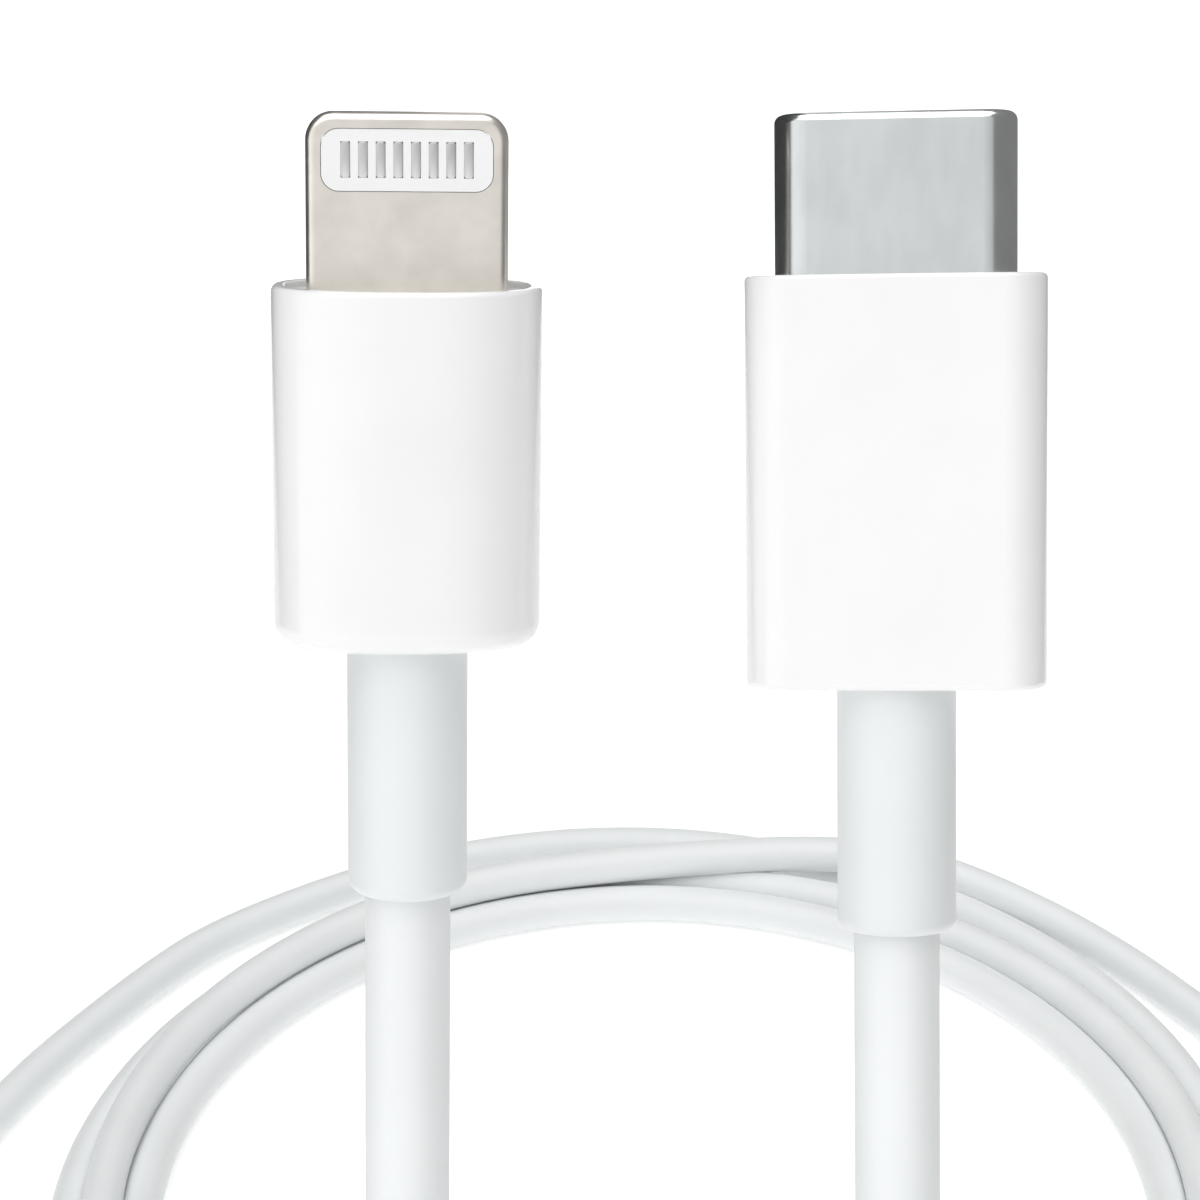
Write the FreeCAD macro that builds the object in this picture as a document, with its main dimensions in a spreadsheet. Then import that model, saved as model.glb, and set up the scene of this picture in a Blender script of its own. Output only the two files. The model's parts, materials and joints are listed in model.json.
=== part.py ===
"""Charging cable: a cord wound in a loose coil, with a tab plug on one end and an oval plug on the other.

Frame: the origin is on the surface, under the middle of the whole part's box. +Z is up and -Y is the front,
where the two plugs stand. Each plug is built along its own axis, with its end face at 0 and its tip at +Z,
and is then set in place by its Placement. Sizes are in millimetres.
"""
import FreeCAD, Part
import Sketcher
import math
import os
import re

from FreeCAD import Placement, Rotation, Vector

SIZES = {
    # cord
    "cord_radius": 1.5,
    "cord_fit": 0.02,
    # tab plug
    "tab_width": 6.7, "tab_depth": 1.5, "tab_edge": 0.3, "tab_length": 5.7, "tab_tip_corner": 0.9,
    "tab_window_width": 5.7, "tab_window_low": 3.12, "tab_window_high": 5.19, "tab_window_corner": 0.6,
    "tab_flange_clearance": 0.325, "tab_flange_depth": 2.6, "tab_flange_length": 1.9,
    "tab_detent_low": 2.87, "tab_detent_length": 1.4, "tab_detent_depth": 0.12, "tab_detent_width": 0.8,
    "tab_contact_pitch": 0.58, "tab_contact_width": 0.28, "tab_contact_low": 3.6, "tab_contact_high": 4.74,
    "tab_housing_width": 9.05, "tab_cord_cover": 1.4, "tab_housing_corner": 2.6, "tab_housing_length": 12.2,
    "tab_wall": 0.7, "tab_floor": 0.8, "tab_rim_round": 0.2, "tab_base_round": 0.8, "tab_face_recess": 0.2,
    "tab_board_depth": 0.6, "tab_tongue_width": 4.4, "tongue_setback": 0.3,
    "tab_sleeve_wall": 0.565, "tab_sleeve_length": 8.8,
    # oval plug
    "oval_width": 8.25, "oval_depth": 2.4, "oval_metal": 0.3, "oval_length": 5.5, "oval_root": 3.4,
    "oval_core_end": 5.1, "oval_slot_width": 6.3, "oval_slot_depth": 0.8, "oval_slot_floor": 0.6,
    "oval_contact_pitch": 0.5, "oval_contact_width": 0.22, "oval_contact_depth": 0.13, "oval_contact_high": 4.6,
    "oval_latch_place": 3.45, "oval_latch_metal": 0.2, "oval_latch_depth": 0.6, "oval_latch_high": 4.2,
    "oval_latch_hook": 0.5, "oval_latch_gap": 0.15, "oval_spring_width": 5.0, "oval_spring_metal": 0.12,
    "oval_spring_high": 4.7, "oval_spring_length": 1.9, "oval_base_length": 0.3, "oval_contact_foot": 0.8,
    "oval_lip_round": 0.25,
    "oval_housing_width": 10.2, "oval_cord_cover": 1.1, "oval_housing_corner": 1.5, "oval_housing_length": 14.0,
    "oval_wall": 0.6, "oval_floor": 0.8, "oval_rim_round": 0.15, "oval_base_round": 0.25,
    "oval_face_recess": 0.1,
    "oval_board_depth": 0.8,
    "oval_sleeve_wall": 0.55, "oval_sleeve_length": 8.55,
    # both plugs
    "face_plate": 0.8, "fit": 0.02, "loose_fit": 0.05, "crimp_metal": 0.16, "crimp_length": 2.1,
    "can_metal": 0.15, "can_clearance": 0.1, "can_setback": 0.3, "wire_radius": 0.25,
    "wire_pitch": 0.8, "sleeve_shoulder": 0.27, "sleeve_round": 0.5, "mould_length": 2.3,
    "board_clearance": 0.075, "board_gap": 0.1, "wire_foot": 0.6, "chip_width": 2.6, "chip_depth": 0.7,
    "chip_length": 2.2, "chip_setback": 0.8, "small_part": 0.4, "small_part_gap": 0.4, "small_pitch": 1.8,
    # coil, as the outer shape of its turns
    "coil_inner": 35.7, "coil_top_inner": 37.6, "coil_top_outer": 43.0, "coil_outer": 49.6, "coil_slack": 0.2,
}
TAB_CONTACTS = 8
OVAL_CONTACTS = 12
SMALL_PARTS = 4
WIRES_A_SIDE = 2
LATCH_SIDES = {"left": "-", "right": "+"}
TOUCH = 1e-4

# The middle of the coil, on the surface. The plugs' places and the routes are measured from it.
COIL_CENTRE = Vector(0.15, 25.83, 0)

# Where each plug stands: the middle of its end face, then turn about Z, tilt sideways and lean back in degrees.
TAB_PLACE = (-10.35, -76.2, 103.0)
TAB_ANGLES = (3.8, 1.85, 16.0)
OVAL_PLACE = (6.2, -74.1, 102.5)
OVAL_ANGLES = (-5.8, -3.1, 23.0)

# The cord's route from each plug to the coil, after its first straight run. The last number is how far the cord
# is lifted off the surface.
FIRST_RUN = 23.0
TAB_ROUTE = [
    (-12.0, -92.0, 33.5), (-19.0, -96.0, 11.5), (-35.0, -94.0, 0.0), (-52.0, -81.0, 0.0), (-59.5, -59.0, 0.0),
    (-60.0, -35.0, 0.0), (-56.0, -12.0, 0.0), (-50.5, 10.0, 0.0), (-41.5, 26.0, 0.0),
]
OVAL_ROUTE = [
    (8.0, -97.0, 33.5), (15.0, -100.5, 11.5), (31.0, -97.0, 0.0), (49.0, -84.0, 0.0), (58.0, -62.0, 0.0),
    (60.0, -38.0, 0.0), (57.5, -14.0, 0.0), (51.5, 9.0, 0.0), (40.0, 30.0, 0.0), (27.0, 40.5, 0.0),
]
ARC_SHARE = 0.45

doc = FreeCAD.newDocument("charging_cable")
sheet = doc.addObject("Spreadsheet::Sheet", "Sizes")
for row, (alias, size) in enumerate(SIZES.items(), start=1):
    sheet.set(f"A{row}", alias)
    sheet.set(f"B{row}", str(size))
    sheet.setAlias(f"B{row}", alias)
doc.recompute()


def bound(expression):
    """The expression with each size's name made a cell of the sheet."""
    return re.sub(r"[a-z]\w+", lambda name: f"Sizes.{name[0]}", expression)


def value(expression):
    """The number that an expression of sizes has now."""
    return float(doc.Sizes.evalExpression(bound(expression)))


def placed(place, angles):
    """The Placement of a plug: leaned back, tilted sideways, turned about Z and then moved to its place."""
    turn, tilt, lean = angles
    rotation = Rotation(Vector(0, 0, 1), turn)
    rotation *= Rotation(Vector(0, 1, 0), tilt)
    rotation *= Rotation(Vector(1, 0, 0), -lean)
    return Placement(COIL_CENTRE + Vector(*place), rotation)


def new_body(label, placement):
    body = doc.addObject("PartDesign::Body", label)
    body.Label = label
    body.AllowCompound = True
    body.Placement = placement
    return body


def origin_plane(body, role):
    return next(plane for plane in body.Origin.OriginFeatures if plane.Role == role)


def dimension(sketch, kind, places, expression):
    """A dimension of a sketch, driven by the sheet."""
    index = sketch.addConstraint(Sketcher.Constraint(kind, *places, value(expression)))
    sketch.setExpression(f"Constraints[{index}]", bound(expression))


def disc(sketch, radius):
    circle = sketch.addGeometry(Part.Circle(Vector(), Vector(0, 0, 1), value(radius)))
    sketch.addConstraint(Sketcher.Constraint("Coincident", circle, 3, -1, 1))
    dimension(sketch, "Radius", (circle,), radius)


def block(sketch, width, depth):
    """A rectangle with its middle at the sketch's origin."""
    x, y = value(width) / 2, value(depth) / 2
    corners = [Vector(-x, -y), Vector(x, -y), Vector(x, y), Vector(-x, y)]
    for i in range(4):
        sketch.addGeometry(Part.LineSegment(corners[i], corners[(i + 1) % 4]))
    for i in range(4):
        sketch.addConstraint(Sketcher.Constraint("Coincident", i, 2, (i + 1) % 4, 1))
        sketch.addConstraint(Sketcher.Constraint("Vertical" if i % 2 else "Horizontal", i))
    sketch.addConstraint(Sketcher.Constraint("Symmetric", 0, 1, 1, 2, -1, 1))
    dimension(sketch, "DistanceX", (0, 1, 0, 2), width)
    dimension(sketch, "DistanceY", (1, 1, 1, 2), depth)


def rounded(sketch, width, depth, corner):
    """A rectangle with rounded corners, with its middle at the sketch's origin."""
    radius = value(corner)
    x, y = value(width) / 2 - radius, value(depth) / 2 - radius
    sides = [((-x, -y - radius), (x, -y - radius)), ((x + radius, -y), (x + radius, y)),
             ((x, y + radius), (-x, y + radius)), ((-x - radius, y), (-x - radius, -y))]
    for start, end in sides:
        sketch.addGeometry(Part.LineSegment(Vector(*start), Vector(*end)))
    for quarter, centre in enumerate(((x, -y), (x, y), (-x, y), (-x, -y))):
        start = (quarter - 1) * math.pi / 2
        circle = Part.Circle(Vector(*centre), Vector(0, 0, 1), radius)
        sketch.addGeometry(Part.ArcOfCircle(circle, start, start + math.pi / 2))
    for i in range(4):
        sketch.addConstraint(Sketcher.Constraint("Tangent", i, 2, 4 + i, 1))
        sketch.addConstraint(Sketcher.Constraint("Tangent", 4 + i, 2, (i + 1) % 4, 1))
    sketch.addConstraint(Sketcher.Constraint("Horizontal", 0))
    sketch.addConstraint(Sketcher.Constraint("Symmetric", 0, 1, 2, 1, -1, 1))
    dimension(sketch, "Radius", (4,), corner)
    dimension(sketch, "DistanceX", (0, 1, 0, 2), f"({width}) - 2 * ({corner})")
    dimension(sketch, "DistanceY", (1, 1, 1, 2), f"({depth}) - 2 * ({corner})")


def stadium(sketch, width, depth):
    """Two straight sides joined by half circles, with its middle at the sketch's origin."""
    radius = value(depth) / 2
    reach = value(width) / 2 - radius
    half = math.pi / 2
    right = Part.Circle(Vector(reach, 0), Vector(0, 0, 1), radius)
    left = Part.Circle(Vector(-reach, 0), Vector(0, 0, 1), radius)
    sketch.addGeometry(Part.LineSegment(Vector(-reach, -radius), Vector(reach, -radius)))
    sketch.addGeometry(Part.ArcOfCircle(right, -half, half))
    sketch.addGeometry(Part.LineSegment(Vector(reach, radius), Vector(-reach, radius)))
    sketch.addGeometry(Part.ArcOfCircle(left, half, 3 * half))
    for i in range(4):
        sketch.addConstraint(Sketcher.Constraint("Tangent", i, 2, (i + 1) % 4, 1))
    sketch.addConstraint(Sketcher.Constraint("Horizontal", 0))
    sketch.addConstraint(Sketcher.Constraint("Symmetric", 0, 1, 2, 1, -1, 1))
    dimension(sketch, "Radius", (1,), f"({depth}) / 2")
    dimension(sketch, "DistanceX", (0, 1, 0, 2), f"({width}) - ({depth})")


def attached_sketch(body, role, offset):
    sketch = body.newObject("Sketcher::SketchObject", f"{body.Name}_outline")
    sketch.AttachmentSupport = [(origin_plane(body, role), "")]
    sketch.MapMode = "FlatFace"
    for axis, distance in zip("xyz", offset):
        sketch.setExpression(f"AttachmentOffset.Base.{axis}", bound(distance))
    return sketch


def prism(body, outline, outline_sizes, low, high, place=("0", "0"), cut=False):
    """Adds the outline to the body, or cuts it away, between two heights on the body's own axis."""
    sketch = attached_sketch(body, "XY_Plane", (*place, low))
    outline(sketch, *outline_sizes)
    feature = body.newObject("PartDesign::Pocket" if cut else "PartDesign::Pad", f"{body.Name}_prism")
    feature.Profile = sketch
    feature.setExpression("Length", bound(f"({high}) - ({low})"))
    feature.Reversed = cut
    doc.recompute()
    return feature


def window(body, width, low, high, corner, depth, cut=False):
    """The same, but through the body from front to back, as a rounded window between two heights."""
    sketch = attached_sketch(body, "XZ_Plane", ("0", f"(({low}) + ({high})) / 2", "0"))
    rounded(sketch, width, f"({high}) - ({low})", corner)
    feature = body.newObject("PartDesign::Pocket" if cut else "PartDesign::Pad", f"{body.Name}_window")
    feature.Profile = sketch
    feature.setExpression("Length", bound(depth))
    feature.Midplane = True
    doc.recompute()
    return feature


def row_of(body, feature, count, pitch):
    """Repeats a feature that stands at the left end of a row along the body's X axis."""
    pattern = body.newObject("PartDesign::LinearPattern", f"{body.Name}_row")
    pattern.Originals = [feature]
    pattern.Direction = (feature.Profile[0], ["H_Axis"])
    pattern.setExpression("Length", bound(f"{count - 1} * {pitch}"))
    pattern.Occurrences = count
    body.Tip = pattern
    doc.recompute()


def row_start(count, pitch):
    return f"-{(count - 1) / 2} * {pitch}"


def round_edges(body, radius, chosen):
    """Fillets the edges of the body's solid whose boxes are chosen."""
    solid = body.Tip
    names = [f"Edge{i}" for i, edge in enumerate(solid.Shape.Edges, start=1) if chosen(edge.BoundBox)]
    fillet = body.newObject("PartDesign::Fillet", f"{body.Name}_round")
    fillet.Base = (solid, names)
    fillet.setExpression("Radius", bound(radius))
    doc.recompute()


def level_edges(height):
    level = value(height)
    return lambda box: abs(box.ZMin - level) < TOUCH and abs(box.ZMax - level) < TOUCH


def face_edges(depth):
    face = value(depth) / 2
    return lambda box: box.YLength < TOUCH and abs(abs(box.YMax) - face) < TOUCH


def housing_depth(kind):
    return f"2 * (cord_radius + {kind}_cord_cover)"


def housing_inside(kind, clearance):
    """Width, depth and corner of what fits in a housing with a clearance all round."""
    loss = f"2 * {kind}_wall - 2 * {clearance}"
    width = f"{kind}_housing_width - {loss}"
    depth = f"{housing_depth(kind)} - {loss}"
    return width, depth, f"{kind}_housing_corner - {kind}_wall - {clearance}"


def sleeve_radius(kind):
    return f"(cord_radius + {kind}_sleeve_wall)"


def mould_heights(kind):
    """The foot and the top of the inner moulding, which stands on the housing's floor."""
    low = f"-{kind}_housing_length + {kind}_floor + loose_fit"
    return low, f"{low} + mould_length"


def build_housing(kind, placement):
    """The casing: a rounded tube with a floor that the strain relief's neck passes through."""
    housing = new_body(f"{kind}_housing", placement)
    base = f"-{kind}_housing_length"
    sides = (f"{kind}_housing_width", housing_depth(kind), f"{kind}_housing_corner")
    prism(housing, rounded, sides, base, "0")
    round_edges(housing, f"{kind}_base_round", level_edges(base))
    round_edges(housing, f"{kind}_rim_round", level_edges("0"))
    prism(housing, rounded, housing_inside(kind, "0"), f"{base} + {kind}_floor", "0", cut=True)
    neck_hole = f"{sleeve_radius(kind)} - sleeve_shoulder + fit"
    prism(housing, disc, (neck_hole,), base, f"{base} + {kind}_floor", cut=True)


def build_face_plate(kind, placement, opening, opening_sizes):
    """The plate that closes the housing's end, with the opening that the metal tip stands out of."""
    plate = new_body(f"{kind}_face_plate", placement)
    top = f"-{kind}_face_recess"
    low = f"{top} - face_plate"
    prism(plate, rounded, housing_inside(kind, "fit"), low, top)
    prism(plate, opening, opening_sizes, low, top, cut=True)


def build_cord_end(kind, placement):
    """What holds the cord in the housing: crimped ring, inner moulding and sleeve round the cord's end."""
    base = f"-{kind}_housing_length"
    sleeve_low = f"{base} - {kind}_sleeve_length"
    floor_top = f"{base} + {kind}_floor"
    mould_low, mould_high = mould_heights(kind)
    ring_high = f"{mould_low} + crimp_length"
    ring_radius = "cord_radius + cord_fit + crimp_metal"

    mould = new_body(f"{kind}_inner_moulding", placement)
    prism(mould, rounded, housing_inside(kind, "loose_fit"), mould_low, mould_high)
    prism(mould, disc, (f"{ring_radius} + fit",), mould_low, mould_high, cut=True)

    ring = new_body(f"{kind}_crimp_ring", placement)
    prism(ring, disc, (ring_radius,), mould_low, ring_high)
    prism(ring, disc, ("cord_radius + cord_fit",), mould_low, ring_high, cut=True)

    cord_end = new_body(f"{kind}_cord_end", placement)
    prism(cord_end, disc, ("cord_radius",), sleeve_low, ring_high)

    sleeve = new_body(f"{kind}_strain_relief", placement)
    prism(sleeve, disc, (sleeve_radius(kind),), sleeve_low, base)
    round_edges(sleeve, "sleeve_round", level_edges(sleeve_low))
    prism(sleeve, disc, (f"{sleeve_radius(kind)} - sleeve_shoulder",), base, floor_top)
    prism(sleeve, disc, ("cord_radius + cord_fit",), sleeve_low, floor_top, cut=True)


def build_board(kind, placement, high):
    """The circuit board with its wires, chips and small parts on each face, in a two-part steel can."""
    mould_low, mould_high = mould_heights(kind)
    low = f"{mould_high} + board_gap"
    width, depth, corner = housing_inside(kind, "can_clearance")
    board = new_body(f"{kind}_circuit_board", placement)
    board_width = f"{width} - 2 * can_metal - 2 * board_clearance"
    prism(board, block, (board_width, f"{kind}_board_depth"), low, high)

    wires = new_body(f"{kind}_wires", placement)
    wire_low = f"{mould_low} + crimp_length + fit"
    wire_high = f"{low} + wire_foot"
    wire_side = f"({kind}_board_depth / 2 + wire_radius + fit)"
    for sign in ("-", "+"):
        place = (row_start(WIRES_A_SIDE, "wire_pitch"), f"0 {sign} {wire_side}")
        wire = prism(wires, disc, ("wire_radius",), wire_low, wire_high, place)
        row_of(wires, wire, WIRES_A_SIDE, "wire_pitch")

    chips = new_body(f"{kind}_chips", placement)
    small = new_body(f"{kind}_small_parts", placement)
    chip_high = f"{high} - chip_setback"
    chip_low = f"{chip_high} - chip_length"
    small_high = f"{chip_low} - small_part_gap"
    chip_side = f"({kind}_board_depth / 2 + chip_depth / 2 + fit)"
    small_side = f"({kind}_board_depth / 2 + small_part / 2 + fit)"
    for sign in ("-", "+"):
        prism(chips, block, ("chip_width", "chip_depth"), chip_low, chip_high, ("0", f"0 {sign} {chip_side}"))
        part = prism(small, block, ("small_part", "small_part"), f"{small_high} - small_part", small_high,
                     (row_start(SMALL_PARTS, "small_pitch"), f"0 {sign} {small_side}"))
        row_of(small, part, SMALL_PARTS, "small_pitch")

    hollow = (f"{width} - 2 * can_metal", f"{depth} - 2 * can_metal", f"{corner} - can_metal")
    can_low = f"{low} + can_setback"
    for name, sign in (("front", "+"), ("rear", "-")):
        can = new_body(f"{kind}_{name}_can", placement)
        prism(can, rounded, (width, depth, corner), can_low, high)
        prism(can, rounded, hollow, can_low, high, cut=True)
        other_half = ("0", f"0 {sign} (({depth}) / 2 - fit)")
        prism(can, block, (f"2 * ({width})", depth), can_low, high, other_half, cut=True)
    return board


def build_tab_plug(placement):
    """The plug with a flat metal tab that carries eight contacts on each face."""
    build_housing("tab", placement)
    build_face_plate("tab", placement, rounded,
                     ("tab_width + 2 * fit", "tab_depth + 2 * fit", "tab_edge + fit"))
    build_cord_end("tab", placement)
    flange_high = "-tab_face_recess - face_plate - fit"
    flange_low = f"{flange_high} - tab_flange_length"
    tongue_high = "tab_window_high - tongue_setback"
    board = build_board("tab", placement, f"{flange_low} - loose_fit")
    prism(board, block, ("tab_tongue_width", "tab_board_depth"), f"{flange_low} - loose_fit", tongue_high)

    frame = new_body("tab_metal_frame", placement)
    window(frame, "tab_width", flange_low, "tab_length", "tab_tip_corner", "tab_depth")
    round_edges(frame, "tab_edge", face_edges("tab_depth"))
    flange_width = housing_inside("tab", "tab_flange_clearance")[0]
    prism(frame, block, (flange_width, "tab_flange_depth"), flange_low, flange_high)
    for sign in ("-", "+"):
        prism(frame, block, ("2 * tab_detent_depth", "tab_detent_width"), "tab_detent_low",
              "tab_detent_low + tab_detent_length", (f"0 {sign} tab_width / 2", "0"), cut=True)
    window(frame, "tab_window_width", "tab_window_low", "tab_window_high", "tab_window_corner",
           "2 * tab_depth", cut=True)
    prism(frame, block, ("tab_tongue_width + 2 * loose_fit", "tab_board_depth + 2 * loose_fit"), flange_low,
          "tab_window_low", cut=True)

    insert = new_body("tab_contact_insert", placement)
    window(insert, "tab_window_width - 2 * fit", "tab_window_low + fit", "tab_window_high - fit",
           "tab_window_corner - fit", "tab_depth - 2 * fit")
    prism(insert, block, ("tab_tongue_width + 2 * fit", "tab_board_depth + 2 * fit"), "tab_window_low",
          f"{tongue_high} + fit", cut=True)
    start = row_start(TAB_CONTACTS, "tab_contact_pitch")
    contact_depth = "(tab_depth / 2 - tab_board_depth / 2 - 2 * fit)"
    for name, sign in (("front", "-"), ("rear", "+")):
        place = (start, f"0 {sign} (tab_board_depth / 2 + fit + {contact_depth} / 2)")
        pocket = prism(insert, block, ("tab_contact_width + 2 * fit", f"{contact_depth} + 2 * fit"),
                       "tab_contact_low - fit", "tab_contact_high + fit", place, cut=True)
        row_of(insert, pocket, TAB_CONTACTS, "tab_contact_pitch")
        contacts = new_body(f"tab_{name}_contacts", placement)
        contact = prism(contacts, block, ("tab_contact_width", contact_depth), "tab_contact_low",
                        "tab_contact_high", place)
        row_of(contacts, contact, TAB_CONTACTS, "tab_contact_pitch")


def build_oval_plug(placement):
    """The plug with an oval metal shell round a slotted core, two rows of contacts and two sprung latches."""
    build_housing("oval", placement)
    build_face_plate("oval", placement, stadium, ("oval_width + 2 * fit", "oval_depth + 2 * fit"))
    build_cord_end("oval", placement)
    latch_low = "-oval_root - loose_fit"
    base_high = f"{latch_low} - loose_fit"
    board_high = f"{base_high} - oval_base_length - loose_fit"
    build_board("oval", placement, board_high)

    shell = new_body("oval_metal_shell", placement)
    prism(shell, stadium, ("oval_width", "oval_depth"), "-oval_root", "oval_length")
    round_edges(shell, "oval_lip_round", level_edges("oval_length"))
    inside = ("oval_width - 2 * oval_metal", "oval_depth - 2 * oval_metal")
    prism(shell, stadium, inside, "-oval_root", "oval_length", cut=True)

    core = new_body("oval_core", placement)
    core_sides = [f"{side} - 2 * fit" for side in inside]
    prism(core, stadium, core_sides, "-oval_root", "oval_core_end")
    prism(core, block, ("oval_slot_width", "oval_slot_depth"), "-oval_slot_floor", "oval_core_end", cut=True)
    rail_place = "(oval_slot_width / 2 + oval_width / 4)"
    for sign in ("-", "+"):
        prism(core, block, ("oval_width / 2", "oval_latch_depth + 2 * oval_latch_gap"), "-oval_root",
              "oval_latch_high + oval_latch_gap", (f"0 {sign} {rail_place}", "0"), cut=True)

    start = row_start(OVAL_CONTACTS, "oval_contact_pitch")
    board_side = "(oval_board_depth / 2 + fit + oval_contact_depth / 2)"
    spring_side = "(oval_depth / 2 - oval_metal - fit - oval_spring_metal / 2)"
    spring_low = "oval_spring_high - oval_spring_length"
    for name, sign in (("front", "-"), ("rear", "+")):
        place = (start, f"0 {sign} {board_side}")
        groove = prism(core, block, ("oval_contact_width + 2 * fit", "oval_contact_depth + 2 * fit"),
                       "-oval_root", "oval_contact_high + fit", place, cut=True)
        row_of(core, groove, OVAL_CONTACTS, "oval_contact_pitch")
        contacts = new_body(f"oval_{name}_contacts", placement)
        contact = prism(contacts, block, ("oval_contact_width", "oval_contact_depth"),
                        f"{board_high} - oval_contact_foot", "oval_contact_high", place)
        row_of(contacts, contact, OVAL_CONTACTS, "oval_contact_pitch")
        spring_place = ("0", f"0 {sign} {spring_side}")
        prism(core, block, ("oval_spring_width + 2 * fit", "oval_spring_metal + 2 * fit"),
              f"{spring_low} - fit", "oval_spring_high + fit", spring_place, cut=True)
        spring = new_body(f"oval_{name}_ground_spring", placement)
        prism(spring, block, ("oval_spring_width", "oval_spring_metal"), spring_low, "oval_spring_high",
              spring_place)

    base = new_body("oval_latch_base", placement)
    prism(base, block, ("2 * oval_latch_place + oval_latch_metal", "oval_latch_depth"),
          f"{base_high} - oval_base_length", base_high)
    for name, sign in LATCH_SIDES.items():
        latch = new_body(f"oval_{name}_latch", placement)
        prism(latch, block, ("oval_latch_metal", "oval_latch_depth"), latch_low, "oval_latch_high",
              (f"0 {sign} oval_latch_place", "0"))
        prism(latch, block, ("oval_latch_hook", "oval_latch_depth"), "oval_latch_high - oval_latch_hook",
              "oval_latch_high",
              (f"0 {sign} (oval_latch_place + oval_latch_metal / 2 - oval_latch_hook / 2)", "0"))


def build_coil():
    """The outer shape of the loose coil: a flat-bottomed ring, highest over its inner turns."""
    coil = new_body("cord_coil", Placement(COIL_CENTRE, Rotation()))
    sketch = attached_sketch(coil, "XZ_Plane", ("0", "0", "0"))
    one_cord = "2 * cord_radius + coil_slack"
    two_cords = "4 * cord_radius + coil_slack"
    corners = [("coil_inner", "0"), ("coil_outer", "0"), ("coil_outer", one_cord),
               ("coil_top_outer", two_cords), ("coil_top_inner", two_cords), ("coil_inner", one_cord)]
    points = [Vector(value(across), value(up)) for across, up in corners]
    for i in range(len(points)):
        sketch.addGeometry(Part.LineSegment(points[i], points[(i + 1) % len(points)]))
    for i, (across, up) in enumerate(corners):
        sketch.addConstraint(Sketcher.Constraint("Coincident", i - 1 if i else len(points) - 1, 2, i, 1))
        dimension(sketch, "DistanceX", (-1, 1, i, 1), across)
        if up == "0":
            sketch.addConstraint(Sketcher.Constraint("PointOnObject", i, 1, -1))
        else:
            dimension(sketch, "DistanceY", (-1, 1, i, 1), up)
    turned = coil.newObject("PartDesign::Revolution", "coil_ring")
    turned.Profile = sketch
    turned.ReferenceAxis = (sketch, ["V_Axis"])
    turned.Angle = 360
    doc.recompute()


def corner_arc(before, corner, after):
    """The start, middle and end of the arc that rounds one corner of a route, and its radius."""
    back, on = (before - corner).normalize(), (after - corner).normalize()
    shorter = min(corner.distanceToPoint(before), corner.distanceToPoint(after))
    turn = math.pi - back.getAngle(on)
    radius = ARC_SHARE * shorter / math.tan(turn / 2)
    inward = (back + on).normalize()
    middle = corner + inward * (radius / math.cos(turn / 2) - radius)
    return corner + back * ARC_SHARE * shorter, middle, corner + on * ARC_SHARE * shorter, radius


def build_lead(label, placement, sleeve_low, route):
    """The cord from a plug's strain relief to the coil: a round tube along straight runs and tangent arcs."""
    leave = placement.multVec(Vector(0, 0, value(sleeve_low)))
    down = placement.Rotation.multVec(Vector(0, 0, -1))
    on_surface = COIL_CENTRE + Vector(0, 0, value("cord_radius"))
    points = [leave, leave + down * FIRST_RUN] + [on_surface + Vector(*point) for point in route]
    edges = []
    radii = []
    here = points[0]
    for before, corner, after in zip(points, points[1:], points[2:]):
        start, middle, end, radius = corner_arc(before, corner, after)
        edges.append(Part.LineSegment(here, start).toShape())
        edges.append(Part.Arc(start, middle, end).toShape())
        radii.append(round(radius, 1))
        here = end
    edges.append(Part.LineSegment(here, points[-1]).toShape())
    path = Part.Wire(edges)
    section = Part.Wire(Part.makeCircle(value("cord_radius"), leave, down))
    tube = path.makePipeShell([section], True, False)
    lead = doc.addObject("Part::Feature", label)
    lead.Label = label
    lead.Shape = tube
    expected = math.pi * value("cord_radius") ** 2 * path.Length
    print(f"{label}: radii {radii}, length {path.Length:.1f}, volume {tube.Volume:.1f} of {expected:.1f}")


tab_placement = placed(TAB_PLACE, TAB_ANGLES)
oval_placement = placed(OVAL_PLACE, OVAL_ANGLES)
build_tab_plug(tab_placement)
build_oval_plug(oval_placement)
build_coil()
build_lead("tab_lead", tab_placement, "-tab_housing_length - tab_sleeve_length", TAB_ROUTE)
build_lead("oval_lead", oval_placement, "-oval_housing_length - oval_sleeve_length", OVAL_ROUTE)
doc.recompute()

failed = [item.Name for item in doc.Objects if {"Invalid", "Error"} & set(item.State)]
if failed:
    raise RuntimeError(f"not built: {failed}")
parts = [item for item in doc.Objects if item.TypeId in ("PartDesign::Body", "Part::Feature")]
for part in parts:
    if part.Shape.isNull() or not part.Shape.isValid():
        raise RuntimeError(f"{part.Label} has no valid shape")

os.makedirs("parts", exist_ok=True)
for part in parts:
    part.Shape.exportStep(f"parts/{part.Label}.step")
print(len(parts), "parts")
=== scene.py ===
import json
import math

import bmesh
import bpy
from mathutils import Euler, Matrix, Vector


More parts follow.
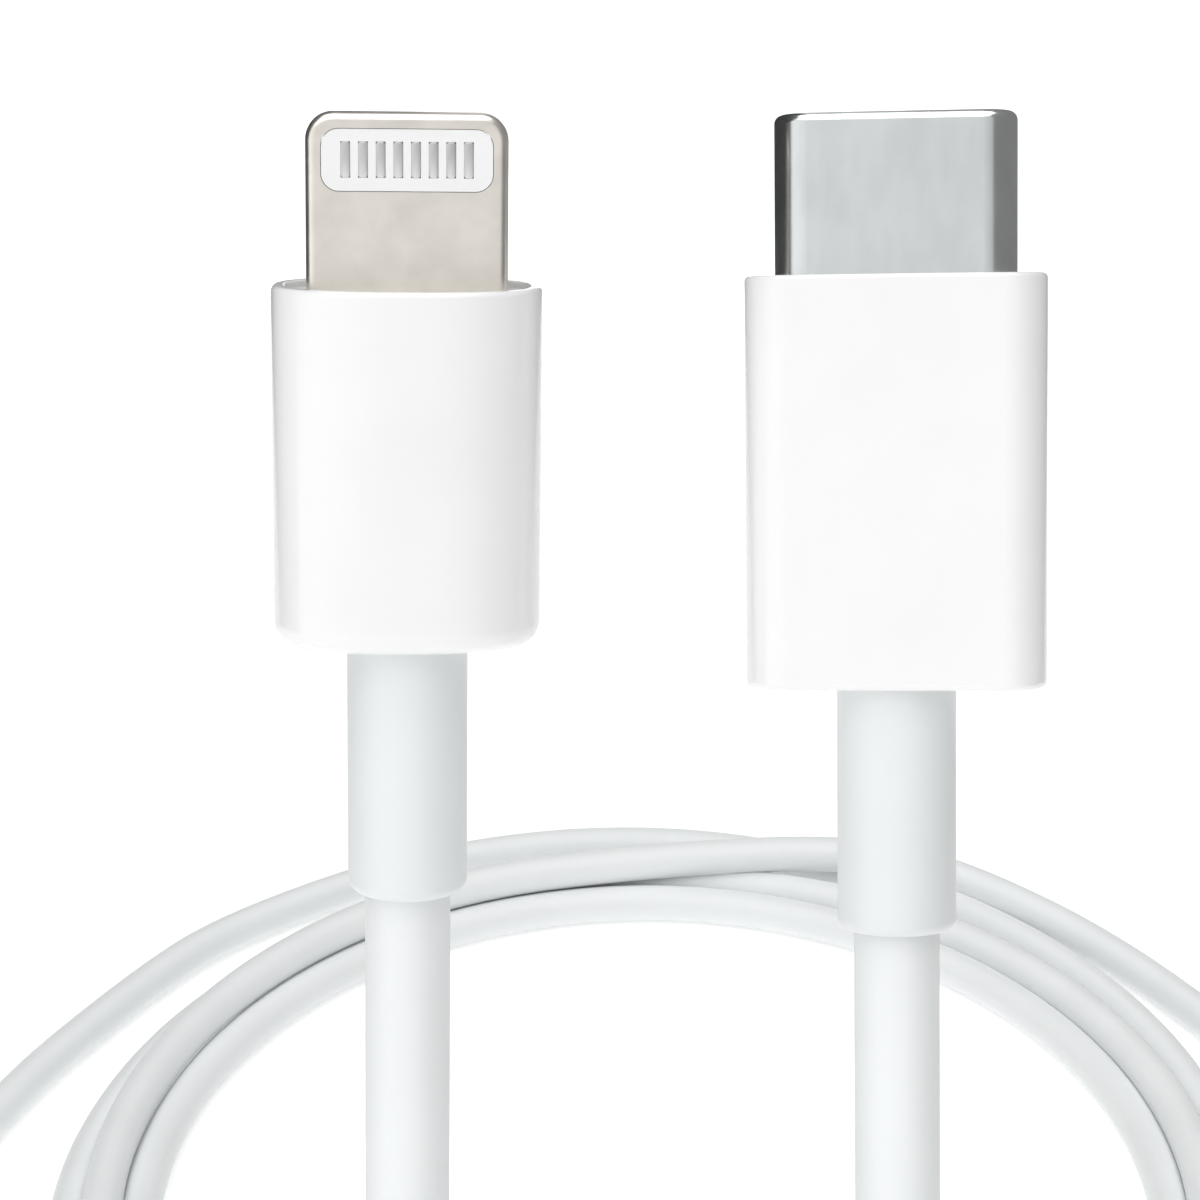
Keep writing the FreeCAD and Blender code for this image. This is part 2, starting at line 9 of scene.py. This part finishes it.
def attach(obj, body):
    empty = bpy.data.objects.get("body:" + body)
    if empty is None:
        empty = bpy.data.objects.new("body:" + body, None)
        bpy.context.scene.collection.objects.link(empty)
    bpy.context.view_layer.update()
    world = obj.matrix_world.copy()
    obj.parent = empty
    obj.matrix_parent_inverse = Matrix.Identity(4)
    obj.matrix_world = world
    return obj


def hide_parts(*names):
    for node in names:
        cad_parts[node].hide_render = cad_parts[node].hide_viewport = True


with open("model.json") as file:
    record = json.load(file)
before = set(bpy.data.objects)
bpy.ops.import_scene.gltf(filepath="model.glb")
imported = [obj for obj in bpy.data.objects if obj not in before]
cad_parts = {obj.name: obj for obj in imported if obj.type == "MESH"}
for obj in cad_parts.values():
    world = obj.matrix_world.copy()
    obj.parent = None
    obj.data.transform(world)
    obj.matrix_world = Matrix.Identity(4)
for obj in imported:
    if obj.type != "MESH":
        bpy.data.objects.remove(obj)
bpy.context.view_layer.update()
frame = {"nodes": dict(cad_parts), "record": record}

MM = 0.001

# ---------------------------------------------------------------------------
# Where things stand, in millimetres from the middle of the coil
# ---------------------------------------------------------------------------
COIL_CENTRE = Vector((0.15, 25.83, 0.0))
CORD_RADIUS = 1.5
FIRST_RUN = 23.0

TAB_PLUG = {"place": (-10.35, -76.2, 103.0), "turn": 3.8, "tilt": 1.85, "lean": 16.0, "sleeve_end": -21.0}
OVAL_PLUG = {"place": (6.2, -74.1, 102.5), "turn": -5.8, "tilt": -3.1, "lean": 23.0, "sleeve_end": -22.55}

TAB_ROUTE = [
    (-12.0, -92.0, 35.0), (-19.0, -96.0, 13.0), (-35.0, -94.0, 1.5), (-52.0, -81.0, 1.5), (-59.5, -59.0, 1.5),
    (-60.0, -35.0, 1.5), (-56.0, -12.0, 1.5), (-50.5, 10.0, 1.5), (-41.5, 26.0, 1.5),
]
OVAL_ROUTE = [
    (8.0, -97.0, 35.0), (15.0, -100.5, 13.0), (31.0, -97.0, 1.5), (49.0, -84.0, 1.5), (58.0, -62.0, 1.5),
    (60.0, -38.0, 1.5), (57.5, -14.0, 1.5), (51.5, 9.0, 1.5), (40.0, 30.0, 1.5), (27.0, 40.5, 3.0),
]
# Each row is one turn of the coil, clockwise from the far left: radius and lift at every eighth of a turn.
# The last row starts a fourth turn, and widens to meet the oval plug's lead.
COIL_TURNS = [
    [(48.3, 0), (47.9, 0), (45.2, 0), (42.6, 0), (43.0, 0), (43.0, 0), (43.0, 0), (42.3, 0)],
    [(41.9, 0), (41.7, 0), (41.0, 1.0), (39.9, 1.8), (39.8, 2.3), (38.8, 3.0), (37.0, 1.9), (37.2, 0)],
    [(38.0, 0), (38.7, 0), (38.2, 0), (37.5, 0), (37.6, 0), (38.6, 0), (39.9, 0.8), (39.8, 1.8)],
    [(40.0, 2.3), (40.4, 2.6), (49.5, 3.2)],
]
COIL_START = 135.0
EIGHTH = 45.0


def plug_matrix(plug):
    """From a plug's own axes, with its tip at +Z, to where it stands, all in millimetres."""
    turn = Matrix.Rotation(math.radians(plug["turn"]), 4, "Z")
    tilt = Matrix.Rotation(math.radians(plug["tilt"]), 4, "Y")
    lean = Matrix.Rotation(math.radians(-plug["lean"]), 4, "X")
    return Matrix.Translation(COIL_CENTRE + Vector(plug["place"])) @ turn @ tilt @ lean


def coil_points():
    """Two points for every eighth of a turn, swelled a little because the spline cuts inside its points."""
    lanes = [lane for turn in COIL_TURNS for lane in turn]
    swell = 1 / math.cos(math.radians(EIGHTH / 4))
    points = []
    for step in range(2 * len(lanes) - 2):
        here, after = lanes[step // 2], lanes[(step + 1) // 2]
        radius = (here[0] + after[0]) / 2 * swell
        lift = (here[1] + after[1]) / 2
        angle = math.radians(COIL_START - step * EIGHTH / 2)
        offset = Vector((radius * math.cos(angle), radius * math.sin(angle), CORD_RADIUS + lift))
        points.append(COIL_CENTRE + offset)
    return points


def lead_points(plug, route):
    """The strain relief's end, the end of the first straight run, and then the route."""
    matrix = plug_matrix(plug)
    end = plug["sleeve_end"]
    leave = [matrix @ Vector((0, 0, end)), matrix @ Vector((0, 0, end - FIRST_RUN))]
    return leave + [COIL_CENTRE + Vector(point) for point in route]


# ---------------------------------------------------------------------------
# Materials
# ---------------------------------------------------------------------------
CLOUD_SCALE = 180.0
CLOUD_SHADE = 0.975
CLOUD_GLOSS = (0.85, 1.15)
MOULDED_DETAIL = 4.0
MOULDED_STRENGTH = 0.15
COAT_ROUGHNESS = 0.08
LINE_SCALE = 900.0
LINE_DETAIL = 5.0
LINE_SHADE = 0.93
LINE_GLOSS = (0.8, 1.25)
LINE_STRENGTH = 0.2
DARKEST_TO = 0.35
LIGHTEST_FROM = 0.65


def new_material(name, colour, roughness, metallic=0.0):
    material = bpy.data.materials.new(name)
    material.use_nodes = True
    shader = material.node_tree.nodes["Principled BSDF"]
    shader.inputs["Base Color"].default_value = (*colour, 1.0)
    shader.inputs["Roughness"].default_value = roughness
    shader.inputs["Metallic"].default_value = metallic
    return material, shader


def add_noise(material, scale, detail=3.0, stretch=(1, 1, 1)):
    """A noise texture on the piece's own coordinates, stretched along its axes."""
    nodes, links = material.node_tree.nodes, material.node_tree.links
    place = nodes.new("ShaderNodeTexCoord")
    mapping = nodes.new("ShaderNodeMapping")
    mapping.inputs["Scale"].default_value = stretch
    noise = nodes.new("ShaderNodeTexNoise")
    noise.inputs["Scale"].default_value = scale
    noise.inputs["Detail"].default_value = detail
    links.new(place.outputs["Object"], mapping.inputs["Vector"])
    links.new(mapping.outputs["Vector"], noise.inputs["Vector"])
    return noise


def vary_roughness(material, shader, noise, low, high):
    nodes, links = material.node_tree.nodes, material.node_tree.links
    spread = nodes.new("ShaderNodeMapRange")
    spread.inputs["To Min"].default_value = low
    spread.inputs["To Max"].default_value = high
    links.new(noise.outputs["Fac"], spread.inputs["Value"])
    links.new(spread.outputs["Result"], shader.inputs["Roughness"])


def vary_colour(material, shader, noise, dark, light):
    nodes, links = material.node_tree.nodes, material.node_tree.links
    ramp = nodes.new("ShaderNodeValToRGB")
    ramp.color_ramp.elements[0].position = DARKEST_TO
    ramp.color_ramp.elements[1].position = LIGHTEST_FROM
    ramp.color_ramp.elements[0].color = (*dark, 1.0)
    ramp.color_ramp.elements[1].color = (*light, 1.0)
    links.new(noise.outputs["Fac"], ramp.inputs["Fac"])
    links.new(ramp.outputs["Color"], shader.inputs["Base Color"])


def add_bump(material, shader, noise, strength, height):
    nodes, links = material.node_tree.nodes, material.node_tree.links
    bump = nodes.new("ShaderNodeBump")
    bump.inputs["Strength"].default_value = strength
    bump.inputs["Distance"].default_value = height
    links.new(noise.outputs["Fac"], bump.inputs["Height"])
    links.new(bump.outputs["Normal"], shader.inputs["Normal"])


def plastic(name, colour, roughness, grain, depth, coat=0.0):
    """Moulded plastic: faint cloudiness in the colour, uneven gloss and a fine moulded skin."""
    material, shader = new_material(name, colour, roughness)
    cloud = add_noise(material, CLOUD_SCALE)
    darker = tuple(channel * CLOUD_SHADE for channel in colour)
    vary_colour(material, shader, cloud, darker, colour)
    vary_roughness(material, shader, cloud, roughness * CLOUD_GLOSS[0], roughness * CLOUD_GLOSS[1])
    moulded = add_noise(material, grain, MOULDED_DETAIL)
    add_bump(material, shader, moulded, MOULDED_STRENGTH, depth)
    shader.inputs["Coat Weight"].default_value = coat
    shader.inputs["Coat Roughness"].default_value = COAT_ROUGHNESS
    return material


def metal(name, colour, roughness, stretch, depth):
    """Worked metal: fine lines along one way, with the gloss and the colour varying with them."""
    material, shader = new_material(name, colour, roughness, 1.0)
    lines = add_noise(material, LINE_SCALE, LINE_DETAIL, stretch)
    darker = tuple(channel * LINE_SHADE for channel in colour)
    vary_colour(material, shader, lines, darker, colour)
    vary_roughness(material, shader, lines, roughness * LINE_GLOSS[0], roughness * LINE_GLOSS[1])
    add_bump(material, shader, lines, LINE_STRENGTH, depth)
    return material


ALONG_PLUG = (1.0, 1.0, 0.06)
EVEN = (1.0, 1.0, 1.0)
FINISHES = {
    "white_gloss": plastic("white_gloss_casing", (0.90, 0.90, 0.905), 0.24, 5200.0, 0.000004, coat=0.35),
    "face_grey": plastic("grey_end_face", (0.76, 0.77, 0.76), 0.5, 6000.0, 0.000006),
    "sleeve_white": plastic("sleeve_elastomer", (0.80, 0.825, 0.825), 0.42, 4200.0, 0.000008),
    "cord_white": plastic("cord_elastomer", (0.84, 0.86, 0.862), 0.42, 3600.0, 0.00001),
    "tab_metal": metal("warm_nickel_tab", (0.93, 0.89, 0.82), 0.30, EVEN, 0.000003),
    "tab_contacts": metal("dull_plated_contacts", (0.66, 0.67, 0.66), 0.38, EVEN, 0.000002),
    "shell_metal": metal("drawn_steel_shell", (0.82, 0.85, 0.85), 0.2, ALONG_PLUG, 0.0000006),
    "gold_contacts": metal("gold_plated_contacts", (0.83, 0.62, 0.27), 0.25, ALONG_PLUG, 0.000002),
    "core_black": plastic("black_core", (0.02, 0.02, 0.022), 0.5, 5000.0, 0.000004),
    "spring_steel": metal("spring_strip", (0.60, 0.60, 0.59), 0.28, ALONG_PLUG, 0.000002),
    "board_green": plastic("solder_mask", (0.02, 0.18, 0.08), 0.3, 3000.0, 0.000004),
    "chip_black": plastic("chip_epoxy", (0.02, 0.02, 0.02), 0.55, 6000.0, 0.000004),
    "small_part_tan": plastic("fired_ceramic", (0.45, 0.32, 0.18), 0.5, 5000.0, 0.000004),
    "can_steel": metal("tinned_can", (0.62, 0.62, 0.60), 0.3, EVEN, 0.000003),
    "moulding_grey": plastic("low_pressure_moulding", (0.55, 0.55, 0.53), 0.55, 3800.0, 0.00001),
    "ring_metal": metal("tinned_ring", (0.60, 0.59, 0.56), 0.32, EVEN, 0.000003),
    "wire_skin": plastic("wire_insulation", (0.55, 0.06, 0.04), 0.4, 3000.0, 0.000004),
}


def finish_piece(piece, slot_name):
    piece.data.materials.clear()
    piece.data.materials.append(FINISHES[slot_name])


for entry in frame["record"]["subparts"]:
    finish_piece(frame["nodes"][entry["node"]], entry["material_slot"])


# ---------------------------------------------------------------------------
# Building a skin through outlines
# ---------------------------------------------------------------------------
SIDES = 128
FULLNESS = 2.5
MERGE = 0.0005


def full_oval(half_width, half_depth):
    """An outline fuller than an ellipse: a point of it for each angle."""
    def point(angle):
        across, deep = math.cos(angle), math.sin(angle)
        return (math.copysign(abs(across) ** (2 / FULLNESS), across) * half_width,
                math.copysign(abs(deep) ** (2 / FULLNESS), deep) * half_depth)
    return point


def rounded_block(half_width, half_depth, corner):
    """A rectangle with round corners, with all of its points on the corners."""
    def point(angle):
        across, deep = math.cos(angle), math.sin(angle)
        return (math.copysign(half_width - corner, across) + corner * across,
                math.copysign(half_depth - corner, deep) + corner * deep)
    return point


def round_bar(radius):
    return rounded_block(radius, radius, radius)


def skin(steps):
    """A closed skin through an outline at each height. Its last step is its first."""
    bm = bmesh.new()
    bmesh.ops.create_circle(bm, segments=SIDES, radius=1.0, cap_ends=False)
    bmesh.ops.rotate(bm, verts=bm.verts, matrix=Matrix.Rotation(math.pi / SIDES, 3, "Z"))
    rim = bm.edges[:]
    for level in range(1, len(steps)):
        grown = bmesh.ops.extrude_edge_only(bm, edges=rim)["geom"]
        new_verts = [item for item in grown if isinstance(item, bmesh.types.BMVert)]
        bmesh.ops.translate(bm, verts=new_verts, vec=(0, 0, 1))
        rim = [edge for edge in bm.edges if all(round(vert.co.z) == level for vert in edge.verts)]
    for vert in bm.verts:
        height, outline = steps[round(vert.co.z)]
        vert.co = (*outline(math.atan2(vert.co.y, vert.co.x)), height)
    bmesh.ops.remove_doubles(bm, verts=bm.verts, dist=MERGE)
    return bm


def turned_edge(height, inset, radius, start, end, make_outline, count=8):
    """Steps round an edge. At 90 degrees the edge faces the tip, at 0 it faces out and at -90 the cord."""
    steps = []
    for i in range(count + 1):
        angle = math.radians(start + (end - start) * i / count)
        steps.append((height + radius * math.sin(angle), make_outline(inset - radius * math.cos(angle))))
    return steps


SHARP_EDGE = math.radians(40)


def plug_piece(name, bm, plug, slot_name, stands_for):
    """Sets a mesh, made in millimetres along a plug's axis, in its place on the cable."""
    bmesh.ops.recalc_face_normals(bm, faces=bm.faces)
    bmesh.ops.transform(bm, matrix=Matrix.Scale(MM, 4) @ plug_matrix(plug), verts=bm.verts)
    for face in bm.faces:
        face.smooth = True
    for edge in bm.edges:
        edge.smooth = edge.calc_face_angle(0.0) < SHARP_EDGE
    mesh = bpy.data.meshes.new(name)
    bm.to_mesh(mesh)
    bm.free()
    piece = bpy.data.objects.new(name, mesh)
    bpy.context.scene.collection.objects.link(piece)
    piece.modifiers.new("even_shading", "WEIGHTED_NORMAL").keep_sharp = True
    finish_piece(piece, slot_name)
    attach(piece, "cable")
    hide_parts(*stands_for)
    return piece


# ---------------------------------------------------------------------------
# The tab plug's casing, end face, contacts and sleeve
# ---------------------------------------------------------------------------
# Every fit is the gap left all round one piece inside another.
FIT = 0.02
SLEEVE_NECK = 1.78
CASING_FLOOR = 0.8
TAB_HALF_WIDTH = 4.525
TAB_HALF_DEPTH = 2.9
TAB_BASE = -12.2
TAB_BASE_EDGE = 0.85
TAB_RIM = 0.45
TAB_RIM_EDGE = 0.2
TAB_INNER_EDGE = 0.09
TAB_RECESS = 0.22
TAB_PLATE = 0.8
TAB_PLATE_BEVEL = 0.04
TAB_OPENING = (3.41, 0.81, 0.3)


def tab_outline(inset):
    return full_oval(TAB_HALF_WIDTH - inset, TAB_HALF_DEPTH - inset)


def make_tab_casing():
    """The casing: up its inside, over the rim, down to the rounded base and into the neck hole."""
    lip = TAB_INNER_EDGE
    neck = round_bar(SLEEVE_NECK + FIT)
    floor = TAB_BASE + CASING_FLOOR
    steps = [(floor, neck), (floor, tab_outline(TAB_RIM)), (-TAB_RECESS, tab_outline(TAB_RIM))]
    steps += turned_edge(-lip, TAB_RIM - lip, lip, 180, 90, tab_outline, count=4)
    steps += turned_edge(-TAB_RIM_EDGE, TAB_RIM_EDGE, TAB_RIM_EDGE, 90, 0, tab_outline)
    edge = TAB_BASE_EDGE
    steps += turned_edge(TAB_BASE + edge, edge, edge, 0, -90, tab_outline, count=12)
    steps += [(TAB_BASE, neck), (floor, neck)]
    plug_piece("tab_casing", skin(steps), TAB_PLUG, "white_gloss", ["tab_housing"])


def make_tab_end_face():
    """The grey plate inside the rim, with the opening that the tab stands in."""
    opening = rounded_block(*TAB_OPENING)
    outside = tab_outline(TAB_RIM + FIT)
    low, high = -TAB_RECESS - TAB_PLATE, -TAB_RECESS
    softened = [(high - TAB_PLATE_BEVEL, outside), (high, tab_outline(TAB_RIM + FIT + TAB_PLATE_BEVEL))]
    steps = [(low, outside), *softened, (high, opening), (low, opening), (low, outside)]
    plug_piece("tab_end_face", skin(steps), TAB_PLUG, "face_grey", ["tab_face_plate"])


CONTACTS = 8
CONTACT_PITCH = 0.58
CONTACT_SIZE = (0.32, 0.4, 1.18)
CONTACT_MIDDLE = 4.17
CONTACT_FACE = 0.75
CONTACT_CORNER = 0.1
CONTACT_BEVEL = 0.03
PAD_RIM_ANGLE = 1.2


def soften(bm, edges, width, segments):
    bmesh.ops.bevel(bm, geom=edges, offset=width, segments=segments, profile=0.5, affect="EDGES", material=-1)


def make_tab_contacts():
    """Eight small pads on each face of the tab, each with round corners and softened edges."""
    for side, node in ((-1, "tab_front_contacts"), (1, "tab_rear_contacts")):
        bm = bmesh.new()
        for i in range(CONTACTS):
            across = (i - (CONTACTS - 1) / 2) * CONTACT_PITCH
            deep = side * (CONTACT_FACE - CONTACT_SIZE[1] / 2)
            place = Matrix.Translation((across, deep, CONTACT_MIDDLE)) @ Matrix.Diagonal((*CONTACT_SIZE, 1.0))
            bmesh.ops.create_cube(bm, size=1.0, matrix=place)
        halfway = CONTACT_SIZE[1] / 2
        corners = [edge for edge in bm.edges if abs(edge.verts[0].co.y - edge.verts[1].co.y) > halfway]
        soften(bm, corners, CONTACT_CORNER, 5)
        rims = [edge for edge in bm.edges if edge.calc_face_angle(0.0) > PAD_RIM_ANGLE]
        soften(bm, rims, CONTACT_BEVEL, 2)
        plug_piece(f"{node}_pads", bm, TAB_PLUG, "tab_contacts", [node])


# ---------------------------------------------------------------------------
# The oval plug's casing and shell, and both sleeves
# ---------------------------------------------------------------------------
OVAL_HALF_WIDTH = 5.1
OVAL_HALF_DEPTH = 2.6
OVAL_CORNER = 1.5
OVAL_LEAST_CORNER = 0.05
OVAL_BASE = -14.0
OVAL_BASE_EDGE = 0.25
OVAL_WALL = 0.6
OVAL_RIM_EDGE = 0.16
OVAL_INNER_EDGE = 0.05
SHELL_HALF_WIDTH = 4.125
SHELL_HALF_DEPTH = 1.2
SHELL_TIP = 5.5
SHELL_ROOT = -3.4
SHELL_WALL = 0.3
SHELL_LIP = 0.32
SLEEVE_END_EDGE = 0.4
TAB_SLEEVE_RADIUS = 2.065
OVAL_SLEEVE_RADIUS = 2.05


def oval_outline(inset):
    corner = max(OVAL_CORNER - inset, OVAL_LEAST_CORNER)
    return rounded_block(OVAL_HALF_WIDTH - inset, OVAL_HALF_DEPTH - inset, corner)


def make_oval_casing():
    """The casing, made as the tab's is, with a crisp rim and base."""
    lip = OVAL_INNER_EDGE
    neck = round_bar(SLEEVE_NECK + FIT)
    floor = OVAL_BASE + CASING_FLOOR
    steps = [(floor, neck), (floor, oval_outline(OVAL_WALL)), (-2 * lip, oval_outline(OVAL_WALL))]
    steps += turned_edge(-lip, OVAL_WALL - lip, lip, 180, 90, oval_outline, count=3)
    steps += turned_edge(-OVAL_RIM_EDGE, OVAL_RIM_EDGE, OVAL_RIM_EDGE, 90, 0, oval_outline)
    steps += turned_edge(OVAL_BASE + OVAL_BASE_EDGE, OVAL_BASE_EDGE, OVAL_BASE_EDGE, 0, -90, oval_outline)
    steps += [(OVAL_BASE, neck), (floor, neck)]
    return plug_piece("oval_casing", skin(steps), OVAL_PLUG, "white_gloss", ["oval_housing"])


def shell_outline(inset):
    return rounded_block(SHELL_HALF_WIDTH - inset, SHELL_HALF_DEPTH - inset, SHELL_HALF_DEPTH - inset)


def make_oval_shell():
    """The drawn metal shell, open at the tip, with its lip turned in."""
    inside, lip_foot = shell_outline(SHELL_WALL), SHELL_TIP - SHELL_LIP
    steps = [(SHELL_ROOT, inside), (lip_foot, inside)]
    steps += turned_edge(lip_foot, SHELL_LIP, SHELL_LIP, 90, 0, shell_outline, count=10)
    steps += [(SHELL_ROOT, shell_outline(0)), (SHELL_ROOT, inside)]
    return plug_piece("oval_shell", skin(steps), OVAL_PLUG, "shell_metal", ["oval_metal_shell"])


def make_sleeve(name, plug, base, radius, node):
    """The soft sleeve round the cord, with a neck in the casing's floor and a rounded end."""
    end, edge = plug["sleeve_end"], SLEEVE_END_EDGE
    top = base + CASING_FLOOR
    neck, bore = round_bar(SLEEVE_NECK), round_bar(CORD_RADIUS + FIT)
    steps = [(top, bore), (top, neck), (base, neck), (base, round_bar(radius))]
    steps += turned_edge(end + edge, edge, edge, 0, -90, lambda inset: round_bar(radius - inset), count=10)
    steps += [(end, bore), (top, bore)]
    return plug_piece(name, skin(steps), plug, "sleeve_white", [node])


make_tab_casing()
make_tab_end_face()
make_tab_contacts()
make_sleeve("tab_sleeve", TAB_PLUG, TAB_BASE, TAB_SLEEVE_RADIUS, "tab_strain_relief")
oval_end = [
    make_oval_casing(),
    make_oval_shell(),
    make_sleeve("oval_sleeve", OVAL_PLUG, OVAL_BASE, OVAL_SLEEVE_RADIUS, "oval_strain_relief"),
    frame["nodes"]["oval_face_plate"],
    frame["nodes"]["oval_core"],
]


# ---------------------------------------------------------------------------
# The cord: one spline from the tab plug, round the coil and up to the oval plug
# ---------------------------------------------------------------------------
def make_cord():
    points = lead_points(TAB_PLUG, TAB_ROUTE) + coil_points() + lead_points(OVAL_PLUG, OVAL_ROUTE)[::-1]
    curve = bpy.data.curves.new("charging_cord", "CURVE")
    curve.dimensions = "3D"
    curve.bevel_depth = CORD_RADIUS * MM
    curve.bevel_resolution = 7
    spline = curve.splines.new("NURBS")
    spline.points.add(len(points) - 1)
    for spot, point in zip(spline.points, points):
        spot.co = (*(point * MM), 1.0)
    spline.order_u = 3
    spline.use_endpoint_u = True
    spline.resolution_u = 14
    cord = bpy.data.objects.new("charging_cord", curve)
    bpy.context.scene.collection.objects.link(cord)
    curve.materials.append(FINISHES["cord_white"])
    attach(cord, "cable")
    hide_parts("tab_lead", "cord_coil", "oval_lead")
    return cord


cord = make_cord()


# ---------------------------------------------------------------------------
# Floor, lights and camera
# ---------------------------------------------------------------------------
FLOOR_REACH = 3.0
FLOOR_GLOW = 0.3
SUN = 2.0
SUN_ANGLE = 80
SUN_WAY = Vector((0.1, 0.05, -1.0))
DOME_LEFT = 1.08
DOME_RIGHT = 0.36
DOME_BACK = 0.8
FLAG_MIDDLE = (0.0, -0.05, 0.0)
FLAG_REACH = 0.26
FLAG_FOOT = -0.02
FLAG_TOP = 0.6
FLAG_STEPS = 24


def make_floor():
    mesh = bpy.data.meshes.new("floor")
    bm = bmesh.new()
    bmesh.ops.create_grid(bm, x_segments=1, y_segments=1, size=FLOOR_REACH)
    bm.to_mesh(mesh)
    bm.free()
    floor = bpy.data.objects.new("floor", mesh)
    bpy.context.scene.collection.objects.link(floor)
    material, shader = new_material("pale_floor", (0.94, 0.94, 0.94), 0.9)
    shader.inputs["Specular IOR Level"].default_value = 0.1
    shader.inputs["Emission Color"].default_value = (1.0, 1.0, 1.0, 1.0)
    shader.inputs["Emission Strength"].default_value = FLOOR_GLOW
    mesh.materials.append(material)


def make_sun():
    """A very wide soft light from above, a little to the left and the front."""
    light = bpy.data.lights.new("soft_sun", "SUN")
    light.energy = SUN
    light.angle = math.radians(SUN_ANGLE)
    lamp = bpy.data.objects.new("soft_sun", light)
    lamp.rotation_euler = SUN_WAY.to_track_quat("-Z", "Y").to_euler()
    bpy.context.scene.collection.objects.link(lamp)


def spread(nodes, links, source, low, high):
    """Maps a direction's share from -1 to 1 onto a range."""
    ramp = nodes.new("ShaderNodeMapRange")
    ramp.inputs["From Min"].default_value = -1.0
    ramp.inputs["To Min"].default_value = low
    ramp.inputs["To Max"].default_value = high
    links.new(source, ramp.inputs["Value"])
    return ramp.outputs["Result"]


def make_world():
    """A pale studio dome, lighter on the left than on the right and darker at the back."""
    world = bpy.data.worlds.new("studio")
    world.use_nodes = True
    nodes, links = world.node_tree.nodes, world.node_tree.links
    direction = nodes.new("ShaderNodeTexCoord")
    split = nodes.new("ShaderNodeSeparateXYZ")
    product = nodes.new("ShaderNodeMath")
    product.operation = "MULTIPLY"
    links.new(direction.outputs["Generated"], split.inputs["Vector"])
    links.new(spread(nodes, links, split.outputs["X"], DOME_LEFT, DOME_RIGHT), product.inputs[0])
    links.new(spread(nodes, links, split.outputs["Y"], 1.0, DOME_BACK), product.inputs[1])
    nodes["Background"].inputs["Color"].default_value = (1.0, 1.0, 1.0, 1.0)
    links.new(product.outputs["Value"], nodes["Background"].inputs["Strength"])
    bpy.context.scene.world = world


def make_flag(name, start, end, glow):
    """A tall dark card bent round the plugs. The camera doesn't see it, but it dims their sides."""
    bm = bmesh.new()
    foot = bmesh.ops.create_vert(bm, co=(0, -FLAG_REACH, FLAG_FOOT))["vert"]
    top = bmesh.ops.create_vert(bm, co=(0, -FLAG_REACH, FLAG_TOP))["vert"]
    edge = bmesh.ops.contextual_create(bm, geom=foot + top)["edges"]
    bmesh.ops.rotate(bm, verts=bm.verts, matrix=Matrix.Rotation(math.radians(start), 3, "Z"))
    sweep = math.radians(end - start)
    bmesh.ops.spin(bm, geom=foot + top + edge, axis=(0, 0, 1), angle=sweep, steps=FLAG_STEPS)
    bmesh.ops.translate(bm, verts=bm.verts, vec=FLAG_MIDDLE)
    mesh = bpy.data.meshes.new(name)
    bm.to_mesh(mesh)
    bm.free()
    flag = bpy.data.objects.new(name, mesh)
    bpy.context.scene.collection.objects.link(flag)
    material, shader = new_material(name, (0.01, 0.01, 0.01), 1.0)
    shader.inputs["Emission Color"].default_value = (1.0, 1.0, 1.0, 1.0)
    shader.inputs["Emission Strength"].default_value = glow
    mesh.materials.append(material)
    flag.visible_camera = False
    flag.visible_shadow = False


make_floor()
make_sun()
make_world()
make_flag("left_flag", -70, -175, 0.02)
make_flag("right_flag", 34, 175, 0.2)
bpy.context.scene.view_settings.view_transform = "Standard"

CAMERA_PLACE = COIL_CENTRE + Vector((-3.9, -166.9, 138.9))
CAMERA_PITCH = 27.8
lens = bpy.data.cameras.new("camera")
lens.lens = 87.0
lens.sensor_width = 36.0
lens.clip_start = 0.01
camera = bpy.data.objects.new("camera", lens)
camera.location = CAMERA_PLACE * MM
camera.rotation_euler = Euler((math.radians(90 - CAMERA_PITCH), 0, 0))
bpy.context.scene.collection.objects.link(camera)
bpy.context.scene.camera = camera
